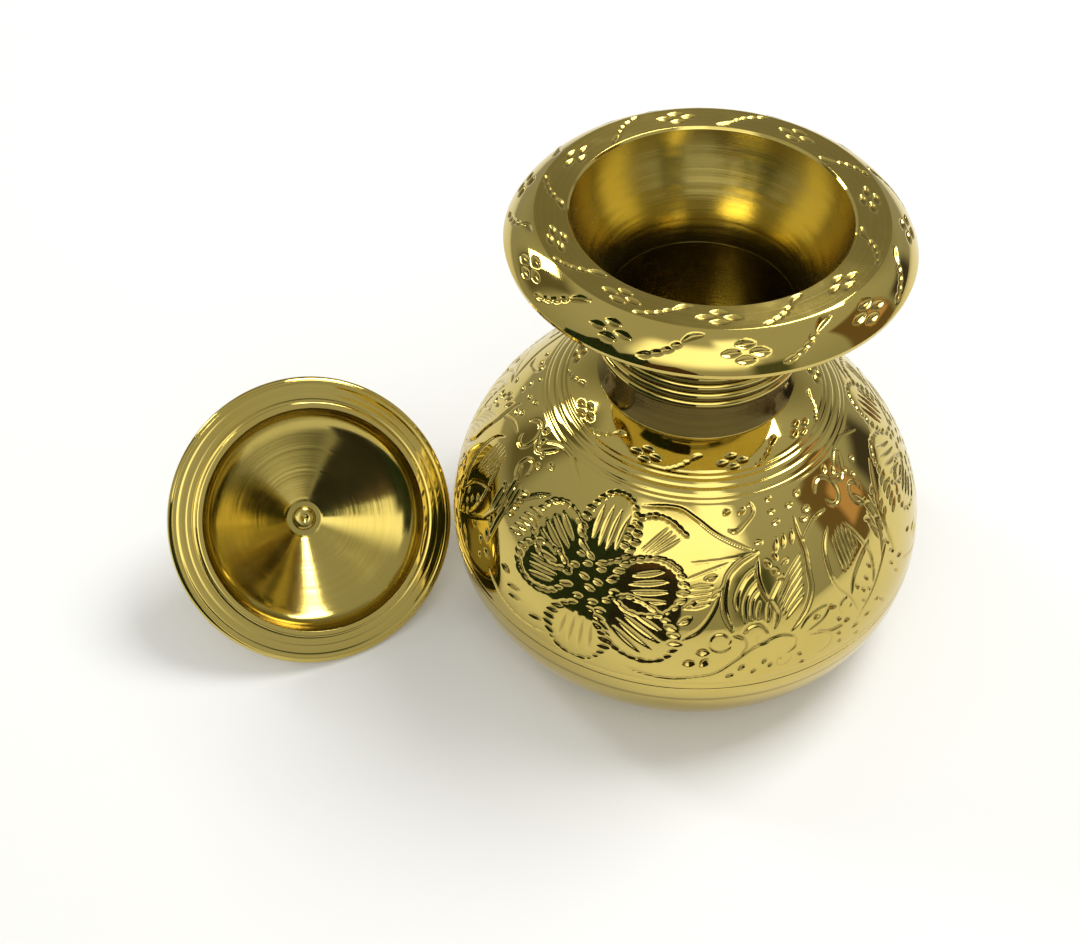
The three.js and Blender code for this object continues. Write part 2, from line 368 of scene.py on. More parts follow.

# %% [markdown]
# ## The lathe
#
# A `Turning` collects stretches of outline in order, up the outside and back down the inside. Each
# stretch can be engraved and has its own finish and its own amount of painted recess shade. `cut`
# holds a depth for every point of the grid, and `spin` sinks each point by that depth along the
# outline's normal before it makes the mesh.


# %% Spin an outline into a mesh
class Turning:
    def __init__(self, around):
        self.around = around
        self.rows = np.zeros((0, 2))
        self.finish = []
        self.bands = {}

    # The recess amount darkens the stretch's colour as painted shade, in bores, insides and hollows.
    def add(self, name, path, step, finish, recess_shade=0.0, corner=0.10):
        points = walk(np.asarray(path, float), step, corner)
        if len(self.rows) and np.allclose(points[0], self.rows[-1], atol=1e-6):
            points = points[1:]
        first = len(self.rows)
        self.rows = np.concatenate([self.rows, points])
        self.finish += [(finish, recess_shade)] * len(points)
        self.bands[name] = slice(first, len(self.rows))

    def ready(self, is_ring=True):
        """Closes the outline and works out its normals."""
        self.is_ring = is_ring
        if is_ring and np.allclose(self.rows[0], self.rows[-1], atol=1e-6):
            self.rows = self.rows[:-1]
            self.finish = self.finish[:-1]
        ahead, behind = np.roll(self.rows, -1, axis=0), np.roll(self.rows, 1, axis=0)
        if not is_ring:
            ahead[-1], behind[0] = self.rows[-1], self.rows[0]
        tangent = ahead - behind
        tangent /= np.linalg.norm(tangent, axis=1)[:, None]
        self.normal = np.stack([tangent[:, 1], -tangent[:, 0]], axis=1)
        self.along = lengths(self.rows)
        self.cut = np.zeros((len(self.rows), self.around))

    def spin(self, name, body, node, place=None):
        turn = np.arange(self.around) * (2 * math.pi / self.around)
        radius = self.rows[:, :1] - self.normal[:, :1] * self.cut
        height = self.rows[:, 1:] - self.normal[:, 1:] * self.cut
        grid = np.stack([radius * np.cos(turn), radius * np.sin(turn), height], axis=-1) * MM
        count = len(self.rows)
        last = count if self.is_ring else count - 1
        i = np.arange(last)[:, None]
        j = np.arange(self.around)[None, :]
        up, over = (i + 1) % count, (j + 1) % self.around
        faces = np.stack([i * self.around + j, i * self.around + over,
                          up * self.around + over, up * self.around + j], axis=-1).reshape(-1, 4)
        look = np.repeat([finish for finish, _ in self.finish][:last], self.around)
        mesh = bpy.data.meshes.new(name)
        build(mesh, grid.reshape(-1, 3), faces, look, poles=not self.is_ring, around=self.around)
        recess_shade = np.repeat([recess_shade for _, recess_shade in self.finish], self.around)
        deepest = max(self.cut.max(), 1e-6)
        for attribute, values in (("along", np.repeat(self.along, self.around)),
                                  ("cut", self.cut.reshape(-1) / deepest), ("recess_shade", recess_shade)):
            layer = mesh.attributes.new(attribute, "FLOAT", "POINT")
            layer.data.foreach_set("value", fit(values, len(mesh.vertices)))
        piece = bpy.data.objects.new(name, mesh)
        bpy.context.scene.collection.objects.link(piece)
        piece.matrix_world = place or Matrix.Identity(4)
        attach(piece, body)
        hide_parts(node)
        print(name, len(mesh.vertices), "points,", len(mesh.polygons), "faces")


def fit(values, count):
    """The values as single precision, with the last repeated for a pole's point."""
    values = np.asarray(values, np.float32)
    return np.concatenate([values, np.full(count - len(values), values[-1], np.float32)])


def build(mesh, points, faces, look, poles, around):
    """Fills a mesh with quads, and closes each end on the axis with a fan of triangles."""
    total = len(points)
    fans = np.zeros((0, 3), int)
    if poles:
        ring = np.arange(around)
        ends = [points[ring].mean(axis=0), points[total - around:].mean(axis=0)]
        points = np.concatenate([points, ends])
        low = np.stack([np.full(around, total), (ring + 1) % around, ring], axis=1)
        top = total - around
        high = np.stack([np.full(around, total + 1), top + ring, top + (ring + 1) % around], axis=1)
        fans = np.concatenate([low, high])
        look = np.concatenate([look, np.full(around, look[0]), np.full(around, look[-1])])
    corners = np.concatenate([faces.reshape(-1), fans.reshape(-1)])
    starts = np.concatenate([np.arange(len(faces)) * 4, len(faces) * 4 + np.arange(len(fans)) * 3])
    mesh.vertices.add(len(points))
    mesh.vertices.foreach_set("co", points.reshape(-1).astype(np.float32))
    mesh.loops.add(len(corners))
    mesh.loops.foreach_set("vertex_index", corners.astype(np.int32))
    mesh.polygons.add(len(starts))
    mesh.polygons.foreach_set("loop_start", starts.astype(np.int32))
    mesh.update(calc_edges=True)
    for finish in finishes:
        mesh.materials.append(finish)
    mesh.polygons.foreach_set("material_index", look.astype(np.int32))
    mesh.polygons.foreach_set("use_smooth", np.ones(len(starts), bool))
    mesh.validate()


print("lathe ready")

# %% [markdown]
# ## The graver
#
# The engraver pushes a V-pointed tool, so a cut starts narrow, widens, and ends narrow, and it is
# deepest where it is widest. Short fat cuts catch the light like seeds; long thin ones make stems.
# A `Strip` is a stretch of the turning laid flat: degrees around, and millimetres along the
# outline. Every cut goes into it by distance from its path, and deeper cuts win where they cross.
# A displacement texture could do this too, but cuts made as geometry keep their edges in the
# mesh itself.


# %% A strip to engrave, and its cuts
class Strip:
    def __init__(self, turning, band, repeats=1):
        self.turning = turning
        self.band = turning.bands[band]
        self.repeats = repeats
        self.columns = turning.around // repeats
        self.down = np.abs(turning.along[self.band] - turning.along[self.band.start])
        self.radius = turning.rows[self.band, 0]
        self.depth = np.zeros((len(self.down), self.columns))

    def ring(self, down, width, depth):
        """A turned line, all the way round."""
        gap = np.abs(self.down - down) / (width / 2)
        self.depth = np.maximum(self.depth, (depth * np.clip(1 - gap ** 2, 0, 1))[:, None])

    def cut(self, points, width, depth=0.0, taper=0.5):
        """One push of the graver along points of (degrees, mm)."""
        path = np.array(points, float)
        depth = depth or 0.32 * width
        step_angle = 360 / self.turning.around
        middle = path[:, 1].mean()
        scale = math.radians(1) * np.interp(middle, *self.sorted_radius())
        reach = width / 2 + 0.3
        rows = np.nonzero((self.down > path[:, 1].min() - reach)
                          & (self.down < path[:, 1].max() + reach))[0]
        left = math.floor((path[:, 0].min() - reach / scale) / step_angle)
        right = math.ceil((path[:, 0].max() + reach / scale) / step_angle)
        columns = np.arange(left, right + 1)
        if not len(rows):
            return
        x = columns[None, :] * step_angle * scale
        y = self.down[rows][:, None]
        flat = path * (scale, 1.0)
        mark = lengths(flat)
        best = np.full((len(rows), len(columns)), np.inf)
        for k in range(len(flat) - 1):
            edge = flat[k + 1] - flat[k]
            size = max(edge @ edge, 1e-9)
            t = np.clip(((x - flat[k, 0]) * edge[0] + (y - flat[k, 1]) * edge[1]) / size, 0, 1)
            gap = np.hypot(x - flat[k, 0] - t * edge[0], y - flat[k, 1] - t * edge[1])
            share = (mark[k] + t * (mark[k + 1] - mark[k])) / mark[-1]
            swell = np.clip(np.minimum(share, 1 - share) / taper, 0, 1)
            swell = np.maximum(np.sqrt(swell * (2 - swell)), 0.02)
            best = np.minimum(best, gap / (swell * width / 2) + 1 - swell)
        hollow = depth * np.clip(1 - best, 0, 1) ** 0.85
        where = np.ix_(rows, columns % self.columns)
        self.depth[where] = np.maximum(self.depth[where], hollow)

    def sorted_radius(self):
        order = np.argsort(self.down)
        return self.down[order], self.radius[order]

    def press(self):
        """Puts the strip's cuts into the turning, once for each repeat."""
        whole = np.tile(self.depth, (1, self.repeats))
        self.turning.cut[self.band] = np.maximum(self.turning.cut[self.band], whole)


print("graver ready")


# %% Smooth paths, and marks set along them
def smooth(points, count=9):
    """A flowing line through a few points, as a hand draws it."""
    p = np.array(points, float)
    if len(p) == 2:
        return np.linspace(p[0], p[1], count)
    p = np.concatenate([[2 * p[0] - p[1]], p, [2 * p[-1] - p[-2]]])
    t = np.linspace(0, 1, count, endpoint=False)[:, None]
    spans = []
    for a, b, c, d in zip(p[:-3], p[1:-2], p[2:-1], p[3:]):
        spans.append(0.5 * (2 * b + (c - a) * t + (2 * a - 5 * b + 4 * c - d) * t ** 2
                            + (3 * b - a - 3 * c + d) * t ** 3))
    return np.concatenate(spans + [p[-2:-1]])


def spiral(centre, radius, start, turns, squeeze=0.25, wide=1.0):
    """A curl that closes in; radius in mm, start in degrees, wide is degrees for a millimetre."""
    turn = np.linspace(0, 1, 30)
    size = radius * (1 - (1 - squeeze) * turn)
    angle = math.radians(start) + turn * turns * 2 * math.pi
    return np.stack([centre[0] + wide * size * np.cos(angle), centre[1] + size * np.sin(angle)], 1)


def seed(strip, at, angle, length, width, wide):
    """A short fat cut, lying at an angle from level."""
    half_x = wide * length / 2 * math.cos(math.radians(angle))
    half_y = length / 2 * math.sin(math.radians(angle))
    ends = [(at[0] - half_x, at[1] - half_y), (at[0], at[1]), (at[0] + half_x, at[1] + half_y)]
    strip.cut(ends, width)


def rope(strip, points, wide, spacing=1.9, length=2.8, width=1.3):
    """A row of seeds along a line. The tool stays nearly level, so they cross a steep edge."""
    path = smooth(points)
    flat = path / (wide, 1.0)
    mark = lengths(flat)
    for stop in np.arange(spacing / 2, mark[-1], spacing):
        at = [np.interp(stop, mark, path[:, k]) for k in (0, 1)]
        ahead = [np.interp(stop + 0.3, mark, flat[:, k]) for k in (0, 1)]
        behind = [np.interp(stop - 0.3, mark, flat[:, k]) for k in (0, 1)]
        slope = math.degrees(math.atan2(ahead[1] - behind[1], ahead[0] - behind[0]))
        slope = (slope + 90) % 180 - 90
        jitter = 0.14 * math.sin(7.3 * at[0] + 4.1 * at[1])
        seed(strip, at, slope * (1 - abs(slope) / 90) + 40 * jitter, length * (1 + jitter),
             width * (1 + jitter), wide)


def hatch(strip, first, second, count, width=0.9, bow=0.0):
    """Parallel strokes from one line of starts to one line of ends."""
    for share in (np.arange(count) + 0.5) / count:
        a = np.array([np.interp(share, np.linspace(0, 1, len(first)), np.array(first)[:, k])
                      for k in (0, 1)])
        b = np.array([np.interp(share, np.linspace(0, 1, len(second)), np.array(second)[:, k])
                      for k in (0, 1)])
        middle = (a + b) / 2 + bow * np.array([b[1] - a[1], a[0] - b[0]])
        strip.cut(smooth([a, middle, b]), width)


def blossom(strip, at, petal, spread, wide):
    """Four fat cuts in a cross: the engraver's quickest flower."""
    length, width = petal
    for across, down in ((0, -1), (0, 1), (-1, 0.1), (1, 0.1)):
        seat = (at[0] + across * spread[0] * wide, at[1] + down * spread[1])
        seed(strip, seat, 6 * across, length, width, wide)


def sprig(strip, at, size, wide):
    """A feather of short cuts that climbs to one long one."""
    for across, down, length in ((-5.0, 2.4, 2.9), (-3.1, 1.6, 2.8), (-1.4, 0.7, 2.6),
                                 (0.0, -0.4, 2.4)):
        seed(strip, (at[0] + across * size * wide, at[1] + down * size), -14, length * size,
             1.3 * size, wide)
    stem = [(0.6, -0.9), (2.6, -2.3), (5.2, -2.9)]
    strip.cut(smooth([(at[0] + x * size * wide, at[1] + y * size) for x, y in stem]), 1.55 * size)


def degrees_for_mm(radius):
    """How many degrees one millimetre spans at a radius: the `wide` of the marks above."""
    return 1 / (math.radians(1) * radius)


print("marks ready")

# %% [markdown]
# ## Lower bowl
#
# The lower half of the belly is a plain spun bowl with a flat base to stand on. It stays polished
# and bare, apart from one soft turned line, and mostly shows the board that it stands on.

# %% Sizes of the pot
base_radius = 28.5
belly_radius = 55.3
belly_height = 25.0
shoulder_height = 68.2
shoulder_slope = math.radians(21.6)
body_wall = 1.4
neck_radius = 21.8
neck_bore = 19.9
joint_gap = 0.3
braze_gap = 0.02
lower_seam = belly_height - joint_gap / 2
upper_seam = belly_height + joint_gap / 2


def inset(path, wall):
    """The same line moved inwards by the wall."""
    tangent = np.gradient(path, axis=0)
    tangent /= np.linalg.norm(tangent, axis=1)[:, None]
    return path + wall * np.stack([-tangent[:, 1], tangent[:, 0]], axis=1)


print("belly", 2 * belly_radius, "mm across")

# %% Turn the lower bowl
swell = base_radius + 0.66 * (belly_radius - base_radius)
bowl_side = curve((base_radius, 0), (swell, 0), (belly_radius, 0.42 * lower_seam),
                  (belly_radius, lower_seam))
bowl_inside = inset(bowl_side, body_wall)
bowl_inside[-1, 1] = lower_seam
bowl = Turning(around=480)
bowl.add("base", line((0.5, 0), (base_radius, 0)), 2.0, RINGED)
bowl.add("side", bowl_side, 0.7, MIRROR)
bowl.add("edge", line(bowl_side[-1], bowl_inside[-1]), 0.5, MIRROR)
bowl.add("inside", bowl_inside[::-1], 1.6, FUNNEL, recess_shade=1.0)
bowl.add("floor", line(bowl_inside[0], (0.5, body_wall)), 2.0, FUNNEL, recess_shade=1.0)
bowl.ready(is_ring=False)
bowl_strip = Strip(bowl, "side")
bowl_strip.ring(bowl_strip.down.max() - 4.0, 0.9, 0.06)
bowl_strip.press()
bowl.spin("lower_bowl_brass", "pot", "lower_bowl")

# %% [markdown]
# ## Shoulder shell
#
# The upper half of the belly carries the engraving. It is laid out as on the real pot: a band of
# small four-petal flowers round the neck, some turned lines, and then a wide frieze. Only one side
# of the frieze is known, so it is taken to repeat three times. The grid is a little over a quarter
# of a millimetre, near the width of the finest cut.

# %% Turn the shoulder
reach = belly_radius - neck_radius
rise = shoulder_height - upper_seam
shoulder_side = curve(
    (belly_radius, upper_seam), (belly_radius, upper_seam + 0.475 * rise),
    (neck_radius + 0.47 * reach * math.cos(shoulder_slope),
     shoulder_height - 0.47 * reach * math.sin(shoulder_slope)), (neck_radius, shoulder_height))
shoulder_inside = inset(shoulder_side, body_wall)
shoulder_inside[0, 1] = upper_seam
under_land = (neck_bore, shoulder_inside[-1, 1])
shoulder = Turning(around=1260)
shoulder.add("side", shoulder_side, 0.29, MIRROR)
shoulder.add("land", line((neck_radius, shoulder_height), (neck_bore, shoulder_height)), 0.6, RINGED)
shoulder.add("hole", line((neck_bore, shoulder_height), under_land), 0.5, FUNNEL, recess_shade=1.0)
shoulder.add("inside", line(under_land, shoulder_inside[-1]), 0.5, FUNNEL, recess_shade=1.0)
shoulder.add("wall", shoulder_inside[::-1], 2.4, FUNNEL, recess_shade=1.0)
shoulder.add("seam", line(shoulder_inside[0], shoulder_side[0]), 0.5, MIRROR)
shoulder.ready()
frieze = Strip(shoulder, "side", repeats=3)
side_length = frieze.down.max()
frieze.down = side_length - frieze.down
DEG = degrees_for_mm(50)
print("engraved side", round(side_length, 1), "mm from seam to neck")

# %% Engrave the neck band and the turned lines
for place, depth in ((7.4, 0.13), (8.5, 0.13), (10.4, 0.16), (12.5, 0.16), (13.6, 0.12),
                     (56.0, 0.12)):
    frieze.ring(place, 0.75, depth)
small = degrees_for_mm(27)
flower_at = -109.0
for step in range(3):
    centre = flower_at + 40 * step
    blossom(frieze, (centre, 5.3), (3.2, 1.5), (2.2, 1.2), small)
    sprig(frieze, (centre + 19, 5.4), 0.72, small)
print("neck band cut")


# %% [markdown]
# ### The big flower
#
# Six wide petals stand around a scalloped eye. Each petal is a loop of short cuts that look like
# twisted rope, with four long tapered strokes inside that run out from the eye.


# %% Cut the big flower
def strip_point(x, y):
    """From millimetres right and up of the flower's eye to degrees and millimetres down."""
    return (flower_at - 2.5 + x * DEG, 35.5 - y)


def petal(heading, tip, wide, strokes):
    """One petal: its heading from the eye, how far its tip is, half its width, and its strokes."""
    out = np.array([math.cos(math.radians(heading)), math.sin(math.radians(heading))])
    side = np.array([-out[1], out[0]])

    def at(far, across):
        return strip_point(*(out * far + side * across))

    loop = [at(5.2, 1.2), at(8.5, 0.85 * wide), at(0.70 * tip, wide), at(0.93 * tip, 0.62 * wide),
            at(tip, 0), at(0.93 * tip, -0.62 * wide), at(0.70 * tip, -wide),
            at(8.5, -0.85 * wide), at(5.2, -1.2)]
    rope(frieze, loop, DEG)
    starts = [at(0.80 * tip, 0.74 * wide), at(0.88 * tip, 0), at(0.80 * tip, -0.74 * wide)]
    ends = [at(0.46 * tip, 0.58 * wide), at(0.38 * tip, 0), at(0.46 * tip, -0.58 * wide)]
    hatch(frieze, starts, ends, strokes, width=1.3)


for shape in ((88, 20.5, 7.2, 4), (152, 21, 6.2, 4), (189, 19, 5.2, 4), (268, 19.5, 6.4, 4),
              (328, 22.5, 6.4, 4), (12, 21.5, 6.2, 4)):
    petal(*shape)
for turn in range(0, 360, 36):
    angle = math.radians(turn)
    seed(frieze, strip_point(5.8 * math.cos(angle), 4.1 * math.sin(angle)), -8, 2.7, 1.4, DEG)
for x, y in ((-1.6, 0.9), (1.8, 0.8), (0.3, -1.1)):
    seed(frieze, strip_point(x, y), 8, 3.0, 1.4, DEG)
print("big flower cut at", flower_at, "degrees")


# %% [markdown]
# ### Leaves, stems and curls
#
# Between two flowers the graver fills the metal with leaves. One opens like a fan and one closes
# like a bud, and thin stems and curls tie them together. Points are degrees from the flower and
# millimetres down from the neck, and each line has only the few that give it its sweep.


# %% Helpers for the foliage
push = 1.35  # how much wider each stem and stroke is cut than it is drawn


def from_flower(points):
    return [(flower_at + across, down) for across, down in points]


def stem(points, width=0.6, depth=0.0):
    frieze.cut(smooth(from_flower(points)), push * width, depth, taper=0.2)


def seeds(marks, length=2.2, width=1.3):
    for across, down, angle in marks:
        seed(frieze, (flower_at + across, down), angle, length, 1.15 * width, DEG)


def leaf_strokes(first, second, count, width=0.8, bow=0.0):
    hatch(frieze, from_flower(first), from_flower(second), count, push * width, bow)


print("foliage helpers ready")

# %% Leaves beside the flower
stem([(-35, 44), (-34.5, 33), (-30, 27), (-24, 23)], 0.9)
leaf_strokes([(-28, 28), (-30.5, 37)], [(-22.5, 27.5), (-25.5, 35.5)], 5, 1.0)
rope(frieze, from_flower([(4, 26), (4.5, 20), (10, 17.5), (16, 18), (22, 21)]), DEG)
leaf_strokes([(8, 25.5), (12, 26)], [(15, 18.5), (21, 21.5)], 4)
stem([(5, 16), (17, 15), (24, 17), (31, 20.5), (42, 25)], 0.8)
stem([(22, 26.5), (28, 26), (36, 25.5), (42, 25.2)], 0.5)
stem([(22, 30), (28, 28), (34, 26.5)], 0.5)
stem([(22, 43.5), (26, 41), (29, 37), (31.5, 32), (33, 30)], 0.8)
seeds([(28.5, 29.5, -10), (30, 33, -35), (23.5, 35.5, -25), (22.5, 39, -30)], 3.2, 1.5)
stem([(-41, 17), (-35, 14.4), (-28, 14), (-23, 15.4), (-18, 17.5)], 0.5)
seeds([(-41, 18.6, 0), (-37, 19, 12), (-31, 19, 4), (-35, 21.2, 0)], 2.4, 1.1)
leaf_strokes([(-34, 27), (-33.5, 35)], [(-30.5, 26), (-31.5, 34)], 4, 1.0)
leaf_strokes([(23, 31), (22.5, 37)], [(29.5, 30.5), (28.5, 35.5)], 4, 1.0)
stem([(-40, 24), (-37.5, 29), (-38, 36), (-41, 42)], 0.9)
seeds([(-37, 39, 60), (-36, 42.5, 40), (-33.5, 46, 20), (-26, 44.5, 10)], 3.0, 1.3)
print("leaves cut")

# %% The pair of leaves and their braided stem
stem([(43, 25), (39, 25.8), (36, 27), (33.2, 29.3), (32, 33), (32, 37), (34, 42)], 1.0)
stem([(42, 28), (38, 30), (35.3, 33.5), (35, 37)], 0.8)
stem([(42, 30.5), (38.6, 33), (37, 36), (37, 40)], 0.8)
stem([(41.5, 33), (39.3, 35), (38.6, 38), (38.8, 40)], 0.7)
stem([(41.2, 35.5), (40.2, 38), (40.3, 40)], 0.6)
stem([(42, 26), (41.2, 30), (42.2, 34), (44.3, 37.5), (45, 40), (44, 43)], 0.9)
stem([(48.5, 31), (45.3, 34), (43.2, 37), (42.5, 41)], 0.8)
stem([(56.5, 20), (56, 24), (56.3, 28), (55.5, 33), (55, 37), (52, 41.5), (47.5, 45)], 1.0)
leaf_strokes([(45.5, 35.2), (46, 38.5), (47, 42)], [(55.5, 27), (54.5, 31), (53, 38)], 6, 0.85, 0.05)
seeds([(44.5, 28, 60), (46.2, 30, 40), (47, 26.8, 70), (49.5, 28.6, -20), (47.5, 32, 10)], 2.4, 1.2)
seeds([(50.5, 24.3, 110), (53.5, 24, 110), (48, 24.6, 110)], 3.4, 1.3)
seeds([(43, 23.2, 5), (50, 14.8, -8), (49.5, 17.6, 5)], 2.6, 1.0)
print("leaf pair cut")

# %% Bow, garland and curls below the leaves
frieze.cut(spiral((flower_at + 31, 44), 2.5, 20, 1.05, 0.75, DEG), 0.8, taper=0.1)
stem([(34, 42.5), (36.5, 43.5), (37.2, 46), (35.5, 49)], 0.9)
stem([(36, 43), (38, 41), (41, 41), (43, 44)], 0.8)
frieze.cut(spiral((flower_at + 41, 44.4), 1.8, -60, 0.8, 0.7, DEG), 0.7, taper=0.1)
seeds([(27, 46.5, 0), (24, 49.5, -8), (27.5, 49.3, -50)], 2.9, 1.9)
stem([(-32, 48), (-28, 50.5), (-24, 52.4), (-19, 53.4), (-14, 53.3), (-10, 52.4)], 0.6)
stem([(7, 52), (12, 53.6), (19, 54.4), (25, 53.7), (30, 52.5), (34, 49.7), (39, 46.3), (45, 44.6),
      (49, 46), (49.3, 48.6), (46.5, 50), (43.5, 49.2)], 0.7)
stem([(50, 45.5), (52.5, 42.8), (56, 41.6), (59, 42), (57, 44.5), (51.5, 46.2)], 0.6)
stem([(52, 46.8), (56, 48), (58.8, 50), (58.8, 52.5), (56.5, 53.6), (54, 52.8)], 0.6)
stem([(55, 47), (59, 48.8), (63, 49.2)], 0.9)
seeds([(-21, 49.2, -8), (-14, 50.2, -14), (-22, 47, -12)], 4.2, 1.1)
seeds([(39, 53.2, -25), (43, 52.3, -30), (41.5, 50.7, -40), (51, 54.4, 0), (50.3, 51.6, 20),
       (61.5, 47, 25), (61.3, 51, 20), (61.5, 53.6, 20), (55.3, 43.4, 0), (67, 54.8, 20)], 1.9, 1.2)
frieze.cut(spiral((flower_at + 64.5, 44.5), 2.4, 120, 0.95, 0.4, DEG), 0.8, taper=0.15)
frieze.cut(spiral((flower_at + 46, 51.8), 2.0, -30, 0.9, 0.4, DEG), 0.8, taper=0.15)
seeds([(33.5, 53.6, -20), (36.2, 51.4, -40), (60, 42.8, 30), (63.8, 48.6, 10)], 2.4, 1.3)
print("garland cut")

# %% The bud and the curls near the neck
stem([(66, 25.5), (62.5, 29), (61.5, 34), (62.6, 39), (66, 44), (68, 49.5)], 0.8)
stem([(71.5, 27), (74, 32), (75.6, 37), (75, 42), (73.5, 45)], 0.8)
leaf_strokes([(65, 28), (69.5, 26.5), (73.5, 29.5)], [(65.5, 37.5), (69, 36), (72.5, 34.5)], 6, 0.75)
stem([(66, 43.5), (68, 39.5), (72, 36.5), (77, 34.5)], 0.8)
seeds([(68.5, 42, 70), (70.3, 44, 60), (72, 41.8, 60), (70, 47, 50), (72.4, 45.2, 50),
       (74, 39.6, 50), (82.5, 45, 50), (84, 48.5, 50)], 2.0, 1.2)
stem([(65, 52.4), (69, 49), (74, 45.5), (79, 41.5), (84, 38)], 0.6)
seeds([(66.5, 52, 0), (70.5, 51.4, 10), (74.5, 49.6, 20), (76.6, 51.5, 60)], 3.0, 1.1)
stem([(34, 19.6), (37, 20), (40, 18.6), (43.4, 16.6), (43, 15), (41, 15.2)], 0.7)
seeds([(34.5, 15.8, -12), (39.5, 16, -20), (50, 20, -6), (56.5, 17.6, -4), (61, 16, -15),
       (61.5, 20, 5), (59.5, 21.6, 8)], 2.8, 1.1)
frieze.cut(spiral((flower_at + 72, 20), 4.6, 200, 0.9, 0.45, DEG), 1.0, taper=0.15)
frieze.cut(spiral((flower_at + 82, 24), 3.4, 60, 0.9, 0.5, DEG), 0.9, taper=0.15)
stem([(55.5, 26.3), (62, 22.8), (68, 22.2)], 0.6)
stem([(75, 17), (80, 19.5), (87, 15)], 0.8)
seeds([(76, 15.4, -30), (79, 17, -40), (83, 28.5, 30), (80, 31, 40), (84, 33, 40)], 2.8, 1.3)
leaf_strokes([(79, 30), (86, 27)], [(80, 38), (87, 35)], 5, 0.9)
frieze.press()
shoulder.spin("shoulder_shell_brass", "pot", "shoulder_shell")
print("deepest cut", round(float(shoulder.cut.max()), 2), "mm")

# %% [markdown]
# ## Neck collar
#
# A cast ring brazed on the shoulder: a plain band at the foot, then four half-round rings under the
# mouth. On the real pot the band and the roots of the rings look dark, most likely because they
# mirror something dark. The flags don't reach them here, so a painted dark reflection, a much darker
# brass tint, stands in for that, and the crests stay bright. The price is a collar that looks
# browner than the belly from other sides.

# %% Turn the collar
ring_count = 4
ring_radius = 1.2
ring_pitch = 2.45
ring_start = 78.3
neck_waist = 0.7
neck_top = 88.0
collar_foot = shoulder_height + braze_gap
band = neck_radius - neck_waist
collar = Turning(around=480)
collar.add("foot", line((neck_bore, collar_foot), (neck_radius, collar_foot),
                        (neck_radius, collar_foot + 0.5)), 0.4, MIRROR)
collar.add("band", curve((neck_radius, collar_foot + 0.5), (band, collar_foot + 3),
                         (band, ring_start - 3.5), (band, ring_start - ring_radius)), 0.4, DARK_REFLECTION)
for ring in range(ring_count):
    height = ring_start + ring * ring_pitch
    collar.add(f"root{ring}", arc(band, height, ring_radius, -80, 8), 0.2, DARK_REFLECTION)
    collar.add(f"crest{ring}", arc(band, height, ring_radius, 8, 52), 0.15, MIRROR)
    collar.add(f"back{ring}", arc(band, height, ring_radius, 52, 80), 0.2, DARK_REFLECTION)
collar.add("top", line((band, neck_top), (neck_bore, neck_top)), 0.4, MIRROR)
collar.add("bore", line((neck_bore, neck_top), (neck_bore, collar_foot)), 0.8, FUNNEL, recess_shade=1.0,
           corner=0.02)
collar.ready()
collar.spin("neck_collar_brass", "pot", "neck_collar")

# %% [markdown]
# ## Mouth rim
#
# The mouth flares from the neck to a sharp edge, slopes back up in a bright band, and ends in a flat
# ring that the lid sits on. Both the ring and the band carry four-petal flowers with feathery sprigs
# between them. Their angles are listed one by one, eight on the ring and nine on the band, so they
# are not quite even.

# %% Turn the mouth
rim_radius = 42.0
rim_height = 106.0
rim_lip = 1.5
top_height = 112.0
top_radius = 35.7
mouth_radius = 28.6
mouth_chamfer = 0.5
bevel_crown = 0.5
mouth_foot = neck_top + braze_gap
lip_foot = rim_height - rim_lip
underside = curve((band, mouth_foot), (band, mouth_foot + 0.6 * (lip_foot - mouth_foot)),
                  (band + 0.45 * (rim_radius - band), lip_foot), (rim_radius - 1, lip_foot))
crown = ((rim_radius + top_radius) / 2 + 2 * bevel_crown,
         (rim_height + top_height) / 2 + 2 * bevel_crown)
rim_edge = np.array((rim_radius, rim_height))
ring_edge = np.array((top_radius, top_height))
third = 2 / 3
bevel = curve(rim_edge, rim_edge + third * (crown - rim_edge),
              ring_edge + third * (crown - ring_edge), ring_edge)
funnel_top = top_height - mouth_chamfer
funnel = curve((mouth_radius, funnel_top), (mouth_radius - 2.4, funnel_top - 9),
               (neck_bore + 0.6, mouth_foot + 9), (neck_bore, mouth_foot))
mouth = Turning(around=1080)
mouth.add("underside", underside, 0.8, RINGED)
mouth.add("lip", line((rim_radius - 1, lip_foot), (rim_radius - 0.15, lip_foot + 0.5), rim_edge),
          0.35, MIRROR)
mouth.add("bevel", bevel, 0.26, MIRROR)
mouth.add("ring", line(ring_edge, (mouth_radius + mouth_chamfer, top_height)), 0.26, TURNED)
mouth.add("chamfer", line((mouth_radius + mouth_chamfer, top_height), (mouth_radius, funnel_top)),
          0.3, MIRROR)
mouth.add("funnel", funnel, 0.7, FUNNEL, recess_shade=0.55, corner=0.02)
mouth.add("foot", line((neck_bore, mouth_foot), (band, mouth_foot)), 0.6, FUNNEL, recess_shade=1.0,
          corner=0.02)
mouth.ready()
funnel_strip = Strip(mouth, "funnel")
for place, depth in ((3.0, 0.02), (5.6, 0.03), (8.4, 0.02), (10.2, 0.04), (12.9, 0.05), (14.6, 0.03),
                     (16.4, 0.06), (18.0, 0.04), (19.9, 0.06), (21.6, 0.05)):
    funnel_strip.ring(place, 1.3, depth)
funnel_strip.press()
print("mouth outline has", len(mouth.rows), "rows")


